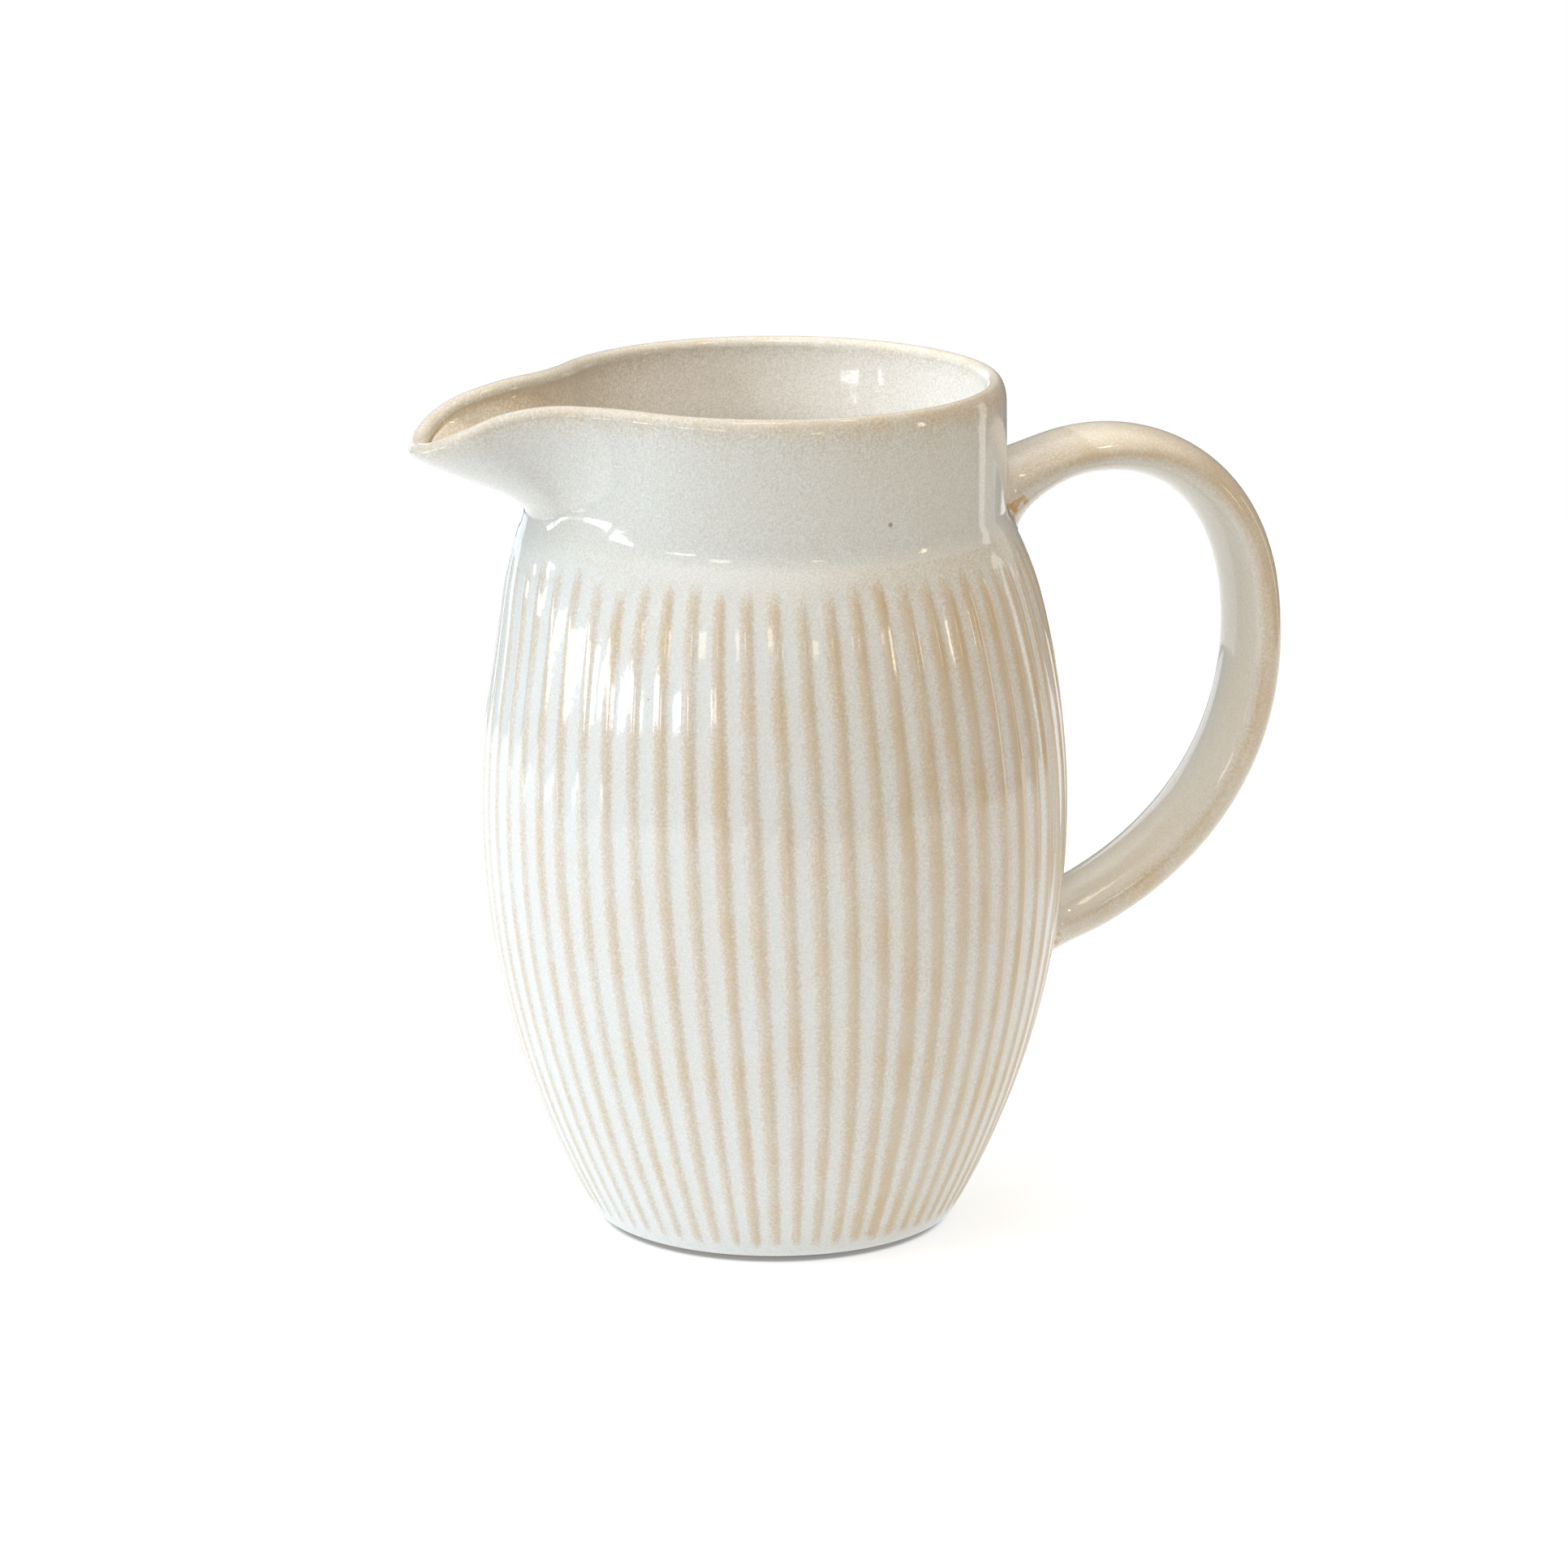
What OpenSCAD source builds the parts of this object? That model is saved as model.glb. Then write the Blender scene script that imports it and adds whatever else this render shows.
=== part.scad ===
// Stoneware pitcher: a round body with leaning flutes, a plain collar with a pulled spout,
// and a strap handle. It is put together from separate clay parts, each a node of its own.
//
// Frame: +Z up, the origin at the centre of the foot's resting face, on the body's axis.
// +X points to the handle, -X to the spout, and the XZ plane is the plane of both.

/* [Body] */
// Height of the rim
rim_z = 200; // [196:0.5:206]
// Largest radius of the body, over the flutes' ridges
belly_r = 68.4; // [67:0.1:70]
// Height of the largest radius
belly_z = 99; // [94:0.5:104]
// Radius of the arc that the body's side follows
side_arc_r = 196; // [185:1:215]
// Thickness of the body's wall
wall = 4.8; // [4:0.1:5.6]

/* [Foot] */
// Outer radius of the foot ring
foot_r = 38; // [37:0.1:39]
// Width of the foot ring
foot_w = 6; // [5:0.1:8]
// Height of the foot ring
foot_h = 4; // [3.5:0.1:5]
// Height of the body's lower edge, which leaves a shadow gap over the table
edge_z = 1.5; // [1:0.1:2.5]
// Thickness of the floor
floor_t = 6; // [5:0.1:8]

/* [Flutes] */
// Number of flutes round the body
flute_count = 60; // [48:1:66]
// Depth of a flute
flute_depth = 0.6; // [0.4:0.1:1]
// Height at which the flutes end, near the foot
flute_low_z = 3.6; // [3:0.1:6]
// How far the flutes lean, in degrees round the axis for each millimetre down
flute_lean = 0.043; // [0:0.001:0.08]

/* [Collar] */
// Height of the soft edge where the body ends and the collar starts
shoulder_z = 166; // [163:0.5:168]
// Radius of that edge, away from the spout
shoulder_r = 54.9; // [54.5:0.1:57]
// Outer radius of the collar at its top
collar_r = 53.3; // [52.5:0.1:53.8]
// How much the collar widens for each millimetre down
collar_lean = 0.012; // [0:0.001:0.02]
// Thickness of the collar
collar_t = 4.8; // [4:0.1:5.4]

/* [Spout] */
// Distance from the axis to the middle of the lip at the spout's tip
spout_reach = 83.8; // [80:0.1:88]
// Half the spout's width, to the middle of the lip
spout_half_w = 15.8; // [13:0.1:17]
// Radius of the hollow curve that joins the collar to the spout
spout_fillet_r = 42; // [36:1:50]
// How far the lip droops at the tip
spout_drop = 10; // [5:0.1:12]
// Radius of the shoulder's edge under the spout, where its throat swells out
throat_r = 59.9; // [57:0.1:60.5]

/* [Handle] */
// Distance from the axis to the middle of the strap, where it is furthest out
handle_reach = 119; // [112:0.5:124]
// Height at which the strap is furthest out
handle_mid_z = 132; // [126:0.5:138]
// Height of the strap's upper root, on the collar
handle_top_z = 171; // [169:0.5:173]
// Height of the strap's lower root, on the body
handle_low_z = 64; // [58:0.5:70]
// Width of the strap
handle_w = 23.5; // [20:0.5:26]
// Thickness of the strap at its upper end
handle_top_t = 10.5; // [9:0.1:12]
// Thickness of the strap at its lower end
handle_low_t = 13.4; // [11:0.1:14]

/* [Hidden] */
$fn = 96;

// Colours: pale glaze, glaze broken thin over edges, and bare clay
pale_glaze = [0.83, 0.86, 0.86];
warm_glaze = [0.80, 0.77, 0.70];
bare_clay = [0.74, 0.66, 0.55];

floor_z = foot_h + floor_t;
edge_round = 3;
corner_fillet = 6;
foot_round = 1.2;

// ---- Shared formulas ----

function ease(x) = let(c = max(0, min(1, x))) c * c * (3 - 2 * c);
function mix(a, b, t) = a + (b - a) * t;
function unit(v) = v / norm(v);

// Steps from one value to another, both ends included
function steps(from, to, count) = [for (i = [0:count]) mix(from, to, i / count)];

// Points of an arc, [radius, height]
function arc(centre, r, from, to, count) =
  [for (a = steps(from, to, count)) centre + r * [cos(a), sin(a)]];

// Triangles between rings of equal size, which run up the outside of a closed skin
function skin(rings, count, start = 0, inward = false) = [
  for (i = [0:rings - 2], j = [0:count - 1])
    let(
      a = start + i * count + j,
      b = start + i * count + (j + 1) % count,
      c = a + count,
      d = b + count
    )
    each inward ? [[a, b, c], [b, d, c]] : [[a, c, b], [b, c, d]]
];

// Triangles that close one end of a loft whose ring is folded along its middle
function cap(count, start, flip) = [
  for (k = [0:count / 2 - 2])
    let(a = start + k, b = a + 1, c = start + count - 2 - k, d = c + 1)
    each flip ? [[a, b, d], [b, c, d]] : [[a, d, b], [b, d, c]]
];

// A closed solid through a list of rings of equal size
module loft(rings, flip = false) {
  count = len(rings[0]);
  last = (len(rings) - 1) * count;
  polyhedron(
    points = [for (ring = rings) each ring],
    faces = concat(skin(len(rings), count, 0, flip), cap(count, 0, !flip), cap(count, last, flip)),
    convexity = 6
  );
}

// ---- Body ----

side_centre = [belly_r - side_arc_r, belly_z];
function side_r(z) = side_centre[0] + sqrt(side_arc_r ^ 2 - (z - belly_z) ^ 2);

// Above neck_z the side eases off its arc, so that it meets the shoulder's edge
neck_z = 150;
neck_push = shoulder_r - side_r(shoulder_z);
function rising_share(z, from) = (max(0, z - from) / (shoulder_z - from)) ^ 2;
function body_r(z) = side_r(z) + neck_push * rising_share(z, neck_z);

// The spout's throat swells the body out above throat_z: wholly in the spout's own plane, and
// less and less to each side, down to nothing at spout_angle
throat_z = 130;
spout_angle = 50;
function from_spout(a) = acos(-cos(a));
function throat(angle) = 1 - ease(abs(angle) / spout_angle);
function throat_swell(a, z) =
  (throat_r - shoulder_r) * throat(from_spout(a)) * rising_share(z, throat_z);

// The rounded lower edge, tangent to the side and to the edge's underside
edge_arc_z = edge_z + edge_round;
edge_arc_x = side_centre[0] + sqrt((side_arc_r - edge_round) ^ 2 - (edge_arc_z - belly_z) ^ 2);
edge_arc_top = atan2(edge_arc_z - belly_z, edge_arc_x - side_centre[0]);

// The soft corner inside, between the floor and the wall
inner_arc_r = side_arc_r - wall;
corner_z = floor_z + corner_fillet;
corner_x = side_centre[0] + sqrt((inner_arc_r - corner_fillet) ^ 2 - (corner_z - belly_z) ^ 2);
corner_top = atan2(corner_z - belly_z, corner_x - side_centre[0]);

side_levels = [24, 40, 58, 76, 94, 112, 128, 138, 147, 154];
barrel_outside = concat(
  arc([edge_arc_x, edge_arc_z], edge_round, -90, edge_arc_top, 3),
  [for (z = concat([6.5, 12], side_levels, [159, 163])) [body_r(z), z]],
  [[shoulder_r, shoulder_z]]
);
barrel_inside = concat(
  [[foot_r, edge_z], [foot_r, floor_z]],
  arc([corner_x, corner_z], corner_fillet, -90, corner_top, 3),
  [for (z = side_levels) [body_r(z) - wall, z]],
  [[shoulder_r - wall, shoulder_z]]
);

// ---- Foot and floor ----

module foot_ring() {
  color(bare_clay)
  rotate_extrude() {
    translate([foot_r - foot_w + foot_round, 0]) square([foot_w - 2 * foot_round, foot_h]);
    translate([foot_r - foot_w, foot_round]) square([foot_w, foot_h - foot_round]);
    for (x = [foot_r - foot_w + foot_round, foot_r - foot_round])
      translate([x, foot_round]) circle(foot_round);
  }
}

module base_floor() {
  color(bare_clay)
  translate([0, 0, foot_h]) cylinder(r = foot_r, h = floor_t);
}

// ---- Fluted barrel ----

// Each flute is a flat-bottomed hollow between two narrow ridges: three points of the ring
flute_points = 3;
flute_phase = 2.5;
flute_fade_low = 3;
flute_fade_top = 10;

function flute_at(z) = flute_depth * ease((z - flute_low_z) / flute_fade_low)
  * ease((shoulder_z - z) / flute_fade_top);
function lean_at(z) = flute_lean * (belly_z - z);

function fluted_ring(p) = [
  for (j = [0:flute_count * flute_points - 1])
    let(
      a = j * 360 / (flute_count * flute_points) + lean_at(p[1]) + flute_phase,
      r = p[0] + throat_swell(a, p[1]) - (j % flute_points == 0 ? 0 : flute_at(p[1]))
    )
    [r * cos(a), r * sin(a), p[1]]
];
function round_ring(p) = [
  for (j = [0:flute_count - 1])
    let(
      a = j * 360 / flute_count + lean_at(p[1]) + flute_phase,
      r = p[0] + throat_swell(a, p[1])
    )
    [r * cos(a), r * sin(a), p[1]]
];

// Triangles of the flat ring between an outer ring and an inner ring of fewer points
function flat_ring(outer, inner, flip) = [
  for (m = [0:flute_count - 1])
    let(
      i0 = inner + m,
      i1 = inner + (m + 1) % flute_count,
      o = [for (k = [0:flute_points]) outer + (m * flute_points + k) % (flute_count * flute_points)]
    )
    each concat(
      [for (k = [0:flute_points - 1]) flip ? [i0, o[k + 1], o[k]] : [i0, o[k], o[k + 1]]],
      [flip ? [i0, i1, o[flute_points]] : [i0, o[flute_points], i1]]
    )
];

module fluted_barrel() {
  outer_count = flute_count * flute_points;
  inner_start = len(barrel_outside) * outer_count;
  outer_last = (len(barrel_outside) - 1) * outer_count;
  inner_last = inner_start + (len(barrel_inside) - 1) * flute_count;
  color(pale_glaze)
  polyhedron(
    points = concat(
      [for (p = barrel_outside) each fluted_ring(p)],
      [for (p = barrel_inside) each round_ring(p)]
    ),
    faces = concat(
      skin(len(barrel_outside), outer_count),
      skin(len(barrel_inside), flute_count, inner_start, true),
      flat_ring(0, inner_start, false),
      flat_ring(outer_last, inner_last, true)
    ),
    convexity = 6
  );
}

// ---- Collar ----

// The collar's side is nearly upright. At its foot a hollow curve, flare_h high, flares out to
// the shoulder's edge. Under the spout the throat's own curve, throat_h high, takes its place.
flare_h = 4.4;
throat_h = 20;
lip_r = collar_t / 2;
lip_z = rim_z - lip_r;
crest_r = collar_r - lip_r;
foot_of_collar_r = collar_r + collar_lean * (lip_z - shoulder_z);

function flare_share(z, height) = (max(0, shoulder_z + height - z) / height) ^ 2;
function collar_outer(z, throat = 0) =
  collar_r + collar_lean * (lip_z - z) + mix(
    (shoulder_r - foot_of_collar_r) * flare_share(z, flare_h),
    (throat_r - foot_of_collar_r) * flare_share(z, throat_h),
    throat
  );
function collar_inner(z) = collar_outer(z) - mix(wall, collar_t, ease((z - shoulder_z) / flare_h));

collar_levels = concat(steps(shoulder_z, shoulder_z + flare_h, 6), [lip_z]);
collar_outside = [for (z = collar_levels) [collar_outer(z), z]];

module collar_profile() {
  polygon(concat(
    collar_outside,
    [for (a = steps(0, 180, 8)) if (a > 0 && a < 180) [crest_r, lip_z] + lip_r * [cos(a), sin(a)]],
    [for (i = [len(collar_levels) - 1:-1:0]) [collar_inner(collar_levels[i]), collar_levels[i]]]
  ));
}

// Everything inside the outer face of the body and the collar
module filled_body() {
  rotate_extrude()
    polygon(concat(
      [[0, edge_z]],
      barrel_outside,
      collar_outside,
      [[collar_r, rim_z], [0, rim_z]]
    ));
}

// The sector of the collar that the spout takes the place of
sector_r = 2 * belly_r;
module spout_sector() {
  translate([0, 0, shoulder_z - 1])
    linear_extrude(rim_z)
      polygon([[0, 0], for (a = steps(-spout_angle, spout_angle, 2)) -sector_r * [cos(a), sin(a)]]);
}

module collar() {
  color(pale_glaze)
  difference() {
    rotate_extrude() collar_profile();
    spout_sector();
  }
}

// ---- Spout ----

// Seen from above, the middle of the lip is three arcs on each side: the tip's round end, a
// hollow fillet, and the collar's circle. Angles are measured from the spout's own plane.
tip_r = spout_half_w;
tip_x = spout_reach - tip_r;
fillet_to_axis = crest_r + spout_fillet_r;
fillet_to_tip = tip_r + spout_fillet_r;
fillet_x = (fillet_to_axis ^ 2 - fillet_to_tip ^ 2 + tip_x ^ 2) / (2 * tip_x);
fillet_y = sqrt(fillet_to_axis ^ 2 - fillet_x ^ 2);
fillet_end = atan2(fillet_y, fillet_x);
tip_arc_end = atan2(fillet_y, fillet_x - tip_x);
tip_joint = [tip_x + tip_r * cos(tip_arc_end), tip_r * sin(tip_arc_end)];
tip_end = atan2(tip_joint[1], tip_joint[0]);

function crest_at(angle) =
  let(a = abs(angle), along = fillet_x * cos(a) + fillet_y * sin(a))
  a <= tip_end ? tip_x * cos(a) + sqrt(tip_r ^ 2 - (tip_x * sin(a)) ^ 2)
  : a < fillet_end ? along - sqrt(along ^ 2 - fillet_to_axis ^ 2 + spout_fillet_r ^ 2)
  : crest_r;

// Section angles, spaced evenly along each arc
tip_angles = [for (a = steps(0, tip_arc_end, 8)) atan2(tip_r * sin(a), tip_x + tip_r * cos(a))];
fillet_from = 180 + tip_arc_end;
fillet_to = 180 + fillet_end;
fillet_angles = [
  for (a = steps(fillet_from, fillet_to, 8))
    atan2(fillet_y + spout_fillet_r * sin(a), fillet_x + spout_fillet_r * cos(a))
];
half_angles = concat(
  tip_angles,
  [for (i = [1:8]) fillet_angles[i]],
  [mix(fillet_end, spout_angle, 0.5), spout_angle]
);
section_count = len(half_angles);
spout_angles = concat(
  [for (i = [section_count - 1:-1:1]) -half_angles[i]],
  half_angles
);

// The lip starts to droop at drop_x
drop_x = 53;
function lip_drop(angle) =
  let(x = crest_at(angle) * cos(angle))
  spout_drop * (max(0, x - drop_x) / (spout_reach - drop_x)) ^ 2;
function lip_height(angle) = lip_z - lip_drop(angle);

// How far the spout's outer face has swelled out from the collar's: t runs from the
// shoulder, 0, to the lip, 1. A steady part starts at once, and the rest comes in a curve.
swell_steady = 0.32;
steady_to = 0.95;
swell_from = 0.24;
swell_to = 1.04;
function swell(t) =
  mix(ease((t - swell_from) / (swell_to - swell_from)), min(1, t / steady_to), swell_steady);

// A point of the spout's outer face
function spout_point(angle, t) =
  let(
    z = mix(shoulder_z, lip_height(angle), t),
    r = collar_outer(z, throat(angle)) + (crest_at(angle) - crest_r) * swell(t) / swell(1)
  )
  [-r * cos(angle), -r * sin(angle), z];

// The direction out of the spout's face there, turned level near the shoulder and the lip
probe_angle = 0.05;
probe_t = 0.005;
level_t = 0.15;
function spout_normal(angle, t) =
  let(
    low = max(0, t - probe_t),
    high = min(1, t + probe_t),
    side = abs(angle) >= spout_angle ? 0 : probe_angle,
    across = side == 0 ? [sin(angle), -cos(angle), 0]
      : spout_point(angle + side, t) - spout_point(angle - side, t),
    up = spout_point(angle, high) - spout_point(angle, low),
    n = unit(cross(across, up))
  )
  unit([n[0], n[1], n[2] * ease(t / level_t) * ease((1 - t) / level_t)]);

spout_levels = steps(0, 1, 11);
lip_steps = 5;
function spout_ring(angle) =
  let(
    outer = [for (t = spout_levels) spout_point(angle, t)],
    inner = [for (t = spout_levels) spout_point(angle, t) - collar_t * spout_normal(angle, t)],
    last = len(spout_levels) - 1,
    n = spout_normal(angle, 1),
    middle = outer[last] - lip_r * n,
    lip = [for (a = steps(0, 180, lip_steps)) middle + lip_r * (cos(a) * n + [0, 0, sin(a)])]
  )
  concat(
    outer,
    [for (i = [1:lip_steps - 1]) lip[i]],
    [for (i = [last:-1:0]) inner[i]]
  );

module spout() {
  color(pale_glaze)
  loft([for (a = spout_angles) spout_ring(a)], true);
}

// ---- Handle ----

// The strap's middle line is two cubic curves that meet where it is furthest out. Each pull
// is a curve's control arm: [outward, up] from that end of the curve.
upper_root = [56, handle_top_z];
lower_root = [64, handle_low_z];
strap_outermost = [handle_reach, handle_mid_z];
upper_root_pull = [22, 16];
upper_pull = [0, 48];
lower_pull = [0, -36];
lower_root_pull = [30, 9];
upper_curve = [upper_root, upper_root + upper_root_pull, strap_outermost + upper_pull, strap_outermost];
lower_curve = [strap_outermost, strap_outermost + lower_pull, lower_root + lower_root_pull, lower_root];
function bezier(p, t) =
  (1 - t) ^ 3 * p[0] + 3 * (1 - t) ^ 2 * t * p[1] + 3 * (1 - t) * t ^ 2 * p[2] + t ^ 3 * p[3];
function slope(p, t) =
  (1 - t) ^ 2 * (p[1] - p[0]) + 2 * (1 - t) * t * (p[2] - p[1]) + t ^ 2 * (p[3] - p[2]);

// Place along the whole strap: 0 to 1 is the upper curve, 1 to 2 the lower one
strap_start = 0.22;
strap_end = 1.84;
thickening_to = 1.6;
function strap_middle(s) = s < 1 ? bezier(upper_curve, s) : bezier(lower_curve, s - 1);
function strap_slope(s) = s < 1 ? slope(upper_curve, s) : slope(lower_curve, s - 1);
function strap_t(s) = mix(handle_top_t, handle_low_t, ease(s / thickening_to));

strap_sides = 24;
function oval(middle, across, half_t, half_w) = [
  for (k = [0:strap_sides - 1])
    let(
      a = (k + 0.5) * 360 / strap_sides,
      p = middle + half_t * sin(a) * across
    )
    [p[0], half_w * cos(a), p[1]]
];
function strap_ring(s) =
  let(d = unit(strap_slope(s)))
  oval(strap_middle(s), [-d[1], d[0]], strap_t(s) / 2, handle_w / 2);

module handle() {
  color(warm_glaze)
  loft([for (s = steps(strap_start, strap_end, 40)) strap_ring(s)]);
}

// Wiped clay round a root of the handle: it spreads from the strap's end onto the wall, and
// goes on inwards past the wall's face. side is 1 at the strap's start and -1 at its end.
root_half_h = 11;
root_half_w = 17;
root_depth = 1.9;
upper_spread = upper_root + [-2, -1];
lower_spread = lower_root + [1, 1];
module root_spread(end_ring, wall_middle, side) {
  wall_ring = oval(wall_middle, [0, side], root_half_h, root_half_w);
  end_middle = (end_ring[0] + end_ring[strap_sides / 2]) / 2;
  middle = [wall_middle[0], 0, wall_middle[1]];
  loft(
    [
      for (u = concat(steps(0, 1, 6), [root_depth]))
        [
          for (k = [0:strap_sides - 1])
            let(spread = min(u, 1) ^ 2)
            mix(end_middle, middle, u)
              + mix(end_ring[k] - end_middle, wall_ring[k] - middle, spread)
        ]
    ],
    side > 0
  );
}

module upper_handle_joint() {
  color(warm_glaze)
  difference() {
    root_spread(strap_ring(strap_start), upper_spread, 1);
    filled_body();
  }
}

module lower_handle_joint() {
  color(warm_glaze)
  difference() {
    root_spread(strap_ring(strap_end), lower_spread, -1);
    filled_body();
  }
}

foot_ring();
base_floor();
fluted_barrel();
collar();
spout();
handle();
upper_handle_joint();
lower_handle_joint();
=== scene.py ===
"""Looks of the ceramic pitcher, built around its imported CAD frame.

Lengths are in millimetres until a mesh is made, which turns them into metres. The vessel's
skin is one grid of rings, so that barrel, collar and spout meet without a seam, and the
handle's skin is a second one. Each grid is then cut into the pieces it stands for.
"""

import math
import random

import bpy
import numpy as np
from mathutils import Euler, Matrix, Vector, noise


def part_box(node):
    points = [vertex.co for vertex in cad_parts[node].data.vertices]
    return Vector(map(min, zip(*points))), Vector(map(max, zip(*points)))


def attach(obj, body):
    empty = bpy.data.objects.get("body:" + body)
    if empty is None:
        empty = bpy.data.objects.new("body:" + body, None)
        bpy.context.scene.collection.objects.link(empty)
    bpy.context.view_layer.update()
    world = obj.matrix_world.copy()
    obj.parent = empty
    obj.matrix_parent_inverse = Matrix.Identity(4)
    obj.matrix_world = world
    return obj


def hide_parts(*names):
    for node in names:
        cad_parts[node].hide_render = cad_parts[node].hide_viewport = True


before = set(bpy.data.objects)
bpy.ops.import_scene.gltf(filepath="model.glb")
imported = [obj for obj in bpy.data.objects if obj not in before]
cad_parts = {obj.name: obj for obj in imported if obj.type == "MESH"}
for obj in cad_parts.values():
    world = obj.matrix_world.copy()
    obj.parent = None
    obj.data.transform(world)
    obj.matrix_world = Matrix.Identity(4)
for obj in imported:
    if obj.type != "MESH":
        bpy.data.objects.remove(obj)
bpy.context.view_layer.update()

MM = 0.001


def span(node):
    """Lowest and highest corner of a CAD node, in millimetres."""
    low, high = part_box(node)
    return low / MM, high / MM


barrel_low = span("fluted_barrel")[0]
collar_low, collar_high = span("collar")
foot_high = span("foot_ring")[1]
floor_high = span("base_floor")[1]

# ---- Driving dimensions ----

EDGE_Z = barrel_low.z
SHOULDER_Z = collar_low.z
RIM_Z = collar_high.z
SHOULDER_R = collar_high.y
FOOT_R = foot_high.x
FOOT_H = foot_high.z
FLOOR_Z = floor_high.z
FOOT_W = 6.0
FOOT_ROUND = 1.2
BELLY_R = 68.3
BELLY_Z = 99.0
SIDE_ARC_R = 196.0
WALL = 4.8
EDGE_ROUND = 3.0
CORNER_FILLET = 6.0
NECK_Z = 150.0

COLLAR_R = 53.3
COLLAR_LEAN = 0.012
FLARE_H = 4.4
LIP_R = WALL / 2
LIP_Z = RIM_Z - LIP_R
CREST_R = COLLAR_R - LIP_R
# Height of the softer roll on the lip's outside, away from the spout
ROLL_H = 5.5

SPOUT_REACH = 83.8
SPOUT_HALF_W = 15.8
SPOUT_FILLET_R = 42.0
SPOUT_DROP = 10.0
SPOUT_ANGLE = math.radians(50)
DROP_X = 53.0
THROAT_R = 59.9
THROAT_Z = 130.0
THROAT_H = 15.0

FLUTES = 60
FLUTE_DEPTH = 0.42
FLUTE_LOW_Z = 3.6
FLUTE_LEAN = 0.043
FLUTE_PHASE = 2.5
PER_FLUTE = 10
COLUMNS = FLUTES * PER_FLUTE


def ease(x):
    c = np.clip(x, 0.0, 1.0)
    return c * c * (3 - 2 * c)


def mix(a, b, t):
    return a + (b - a) * t


def unit(v):
    return v / np.maximum(np.linalg.norm(v, axis=-1, keepdims=True), 1e-12)


# ---- The body's side and the collar's side ----


def side_r(z):
    return BELLY_R - SIDE_ARC_R + np.sqrt(SIDE_ARC_R**2 - (z - BELLY_Z) ** 2)


NECK_PUSH = SHOULDER_R - side_r(SHOULDER_Z)


def rising_share(z, start):
    return (np.maximum(0, z - start) / (SHOULDER_Z - start)) ** 2


def body_r(z):
    return side_r(z) + NECK_PUSH * rising_share(z, NECK_Z)


def from_spout(angle):
    """Angle round the axis turned into the angle from the spout's plane, from -pi to pi."""
    return (angle + 2 * math.pi) % (2 * math.pi) - math.pi


def throat(angle):
    """1 in the spout's plane, less to each side, 0 from SPOUT_ANGLE on."""
    return 1 - ease(np.abs(angle) / SPOUT_ANGLE)


def throat_swell(angle, z):
    return (THROAT_R - SHOULDER_R) * throat(from_spout(angle)) * rising_share(z, THROAT_Z)


COLLAR_FOOT_R = COLLAR_R + COLLAR_LEAN * (LIP_Z - SHOULDER_Z)


def flare_share(z, height):
    return (np.maximum(0, SHOULDER_Z + height - z) / height) ** 2


def collar_outer(z, share=0.0):
    flare = mix(
        (SHOULDER_R - COLLAR_FOOT_R) * flare_share(z, FLARE_H),
        (THROAT_R - COLLAR_FOOT_R) * flare_share(z, THROAT_H),
        share,
    )
    return COLLAR_R + COLLAR_LEAN * (LIP_Z - z) + flare


def wall_r(z):
    """Outer radius without flutes, on the side away from the spout."""
    return np.where(z > SHOULDER_Z, collar_outer(z), body_r(z))


# ---- The spout's plan and its swelling ----

TIP_R = SPOUT_HALF_W
TIP_X = SPOUT_REACH - TIP_R
FILLET_TO_AXIS = CREST_R + SPOUT_FILLET_R
FILLET_TO_TIP = TIP_R + SPOUT_FILLET_R
FILLET_X = (FILLET_TO_AXIS**2 - FILLET_TO_TIP**2 + TIP_X**2) / (2 * TIP_X)
FILLET_Y = math.sqrt(FILLET_TO_AXIS**2 - FILLET_X**2)
FILLET_END = math.atan2(FILLET_Y, FILLET_X)
TIP_ARC_END = math.atan2(FILLET_Y, FILLET_X - TIP_X)
TIP_END = math.atan2(TIP_R * math.sin(TIP_ARC_END), TIP_X + TIP_R * math.cos(TIP_ARC_END))


def crest_at(angle):
    """Distance from the axis to the middle of the lip, by angle from the spout's plane."""
    a = np.abs(angle)
    tip = TIP_X * np.cos(a) + np.sqrt(np.maximum(0, TIP_R**2 - (TIP_X * np.sin(a)) ** 2))
    along = FILLET_X * np.cos(a) + FILLET_Y * np.sin(a)
    hollow = along - np.sqrt(np.maximum(0, along**2 - FILLET_TO_AXIS**2 + SPOUT_FILLET_R**2))
    return np.where(a <= TIP_END, tip, np.where(a < FILLET_END, hollow, CREST_R))


def lip_height(angle):
    x = crest_at(angle) * np.cos(angle)
    return LIP_Z - SPOUT_DROP * (np.maximum(0, x - DROP_X) / (SPOUT_REACH - DROP_X)) ** 2


SWELL_STEADY = 0.32
STEADY_TO = 0.95
SWELL_FROM = 0.24
SWELL_TO = 1.04


def swell(t):
    curve = ease((t - SWELL_FROM) / (SWELL_TO - SWELL_FROM))
    return mix(curve, np.minimum(1, t / STEADY_TO), SWELL_STEADY)


def upper_point(angle, t):
    """A point of the outer face above the shoulder: t runs from 0 there to 1 at the lip."""
    a = from_spout(angle)
    z = mix(SHOULDER_Z, lip_height(a), t)
    r = collar_outer(z, throat(a)) + (crest_at(a) - CREST_R) * swell(t) / swell(1.0)
    return np.stack([r * np.cos(angle), r * np.sin(angle), z], -1)


def upper_normal(angle, t):
    """Way out of that face, turned level near the shoulder and the lip."""
    probe_a = 0.002
    probe_t = 0.005
    level_t = 0.15
    across = upper_point(angle + probe_a, t) - upper_point(angle - probe_a, t)
    up = upper_point(angle, min(1, t + probe_t)) - upper_point(angle, max(0, t - probe_t))
    n = unit(np.cross(across, up))
    n[..., 2] *= ease(t / level_t) * ease((1 - t) / level_t)
    return unit(n)


# ---- Flutes ----

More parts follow.
